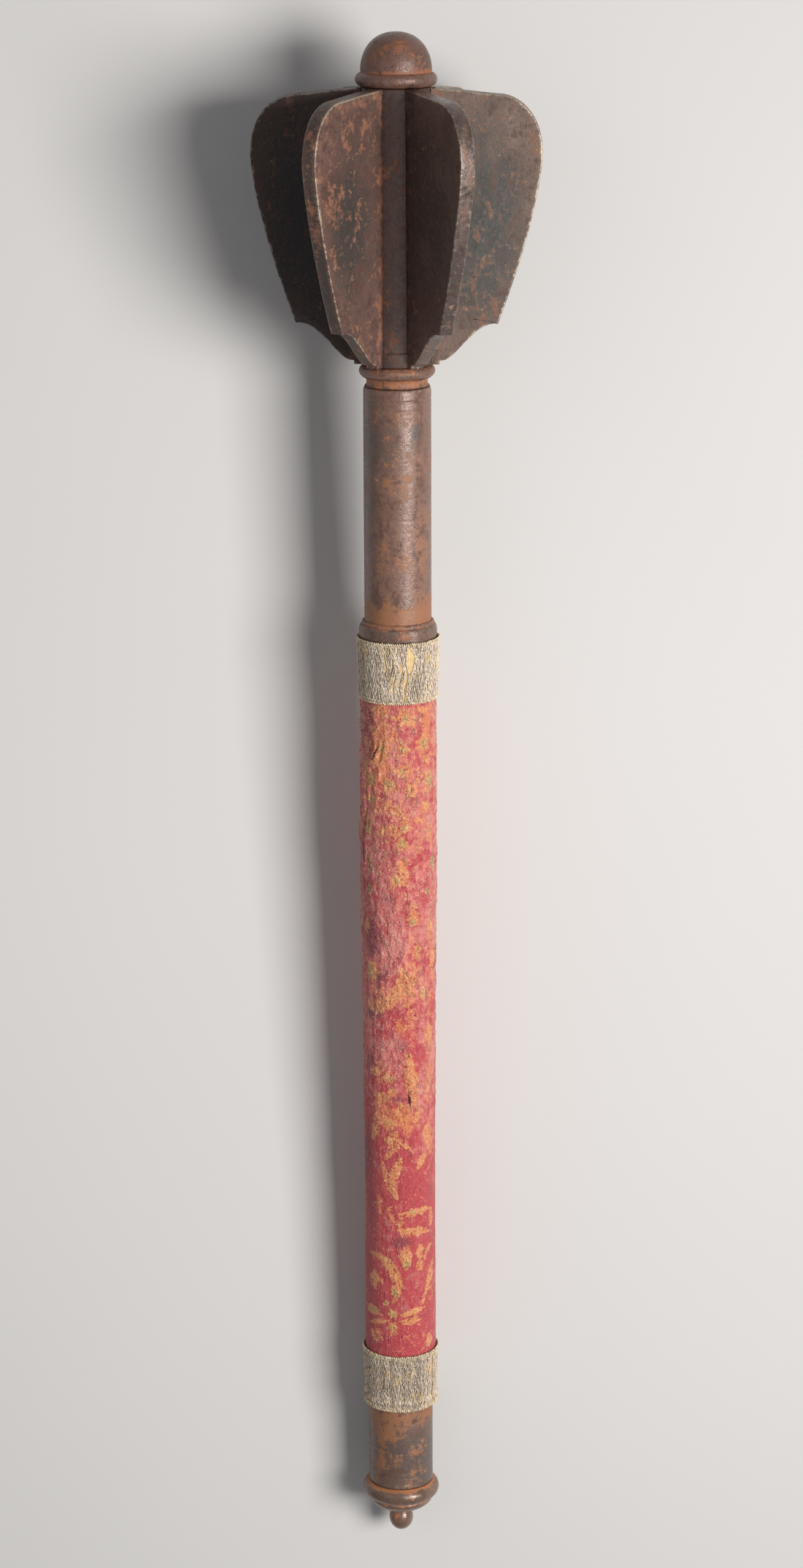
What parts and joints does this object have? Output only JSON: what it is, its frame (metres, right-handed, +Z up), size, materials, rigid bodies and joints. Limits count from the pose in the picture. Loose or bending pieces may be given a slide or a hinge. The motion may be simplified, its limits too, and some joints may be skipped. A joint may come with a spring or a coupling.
{
  "type": "flanged mace",
  "caption": "Ceremonial mace of browned iron: flanged head with a domed finial, round shaft, brocade-covered grip between woven metal bands, and a turned pommel.",
  "frame": {"origin": "on the ground under the middle of the lying mace's box", "axes": "+Y along the mace towards its head, +Z up from the ground, +X to the right of the head"},
  "size_m": [0.127, 0.701, 0.1121],
  "materials": {
    "iron_finial": "brown rusted patina, worn smooth",
    "iron_head": "dark brown patina with rust and worn edges",
    "iron_collar": "orange-brown rust over iron",
    "iron_shaft": "browned iron, satin, with rust blotches",
    "iron_pommel": "dark glossy brown patina",
    "brocade": "worn crimson silk brocade with gold and green motifs",
    "galloon": "tarnished silver-gilt thread braid"
  },
  "bodies": {
    "root": {"finial": "iron_finial", "head_socket": "iron_head", "flange_1": "iron_head", "flange_2": "iron_head", "flange_3": "iron_head", "flange_4": "iron_head", "flange_5": "iron_head", "flange_6": "iron_head", "neck_collar": "iron_collar", "shaft": "iron_shaft", "grip_ring": "iron_shaft", "grip_cover": "brocade", "galloon_upper": "galloon", "galloon_lower": "galloon", "pommel": "iron_pommel"}
  },
  "joints": []
}
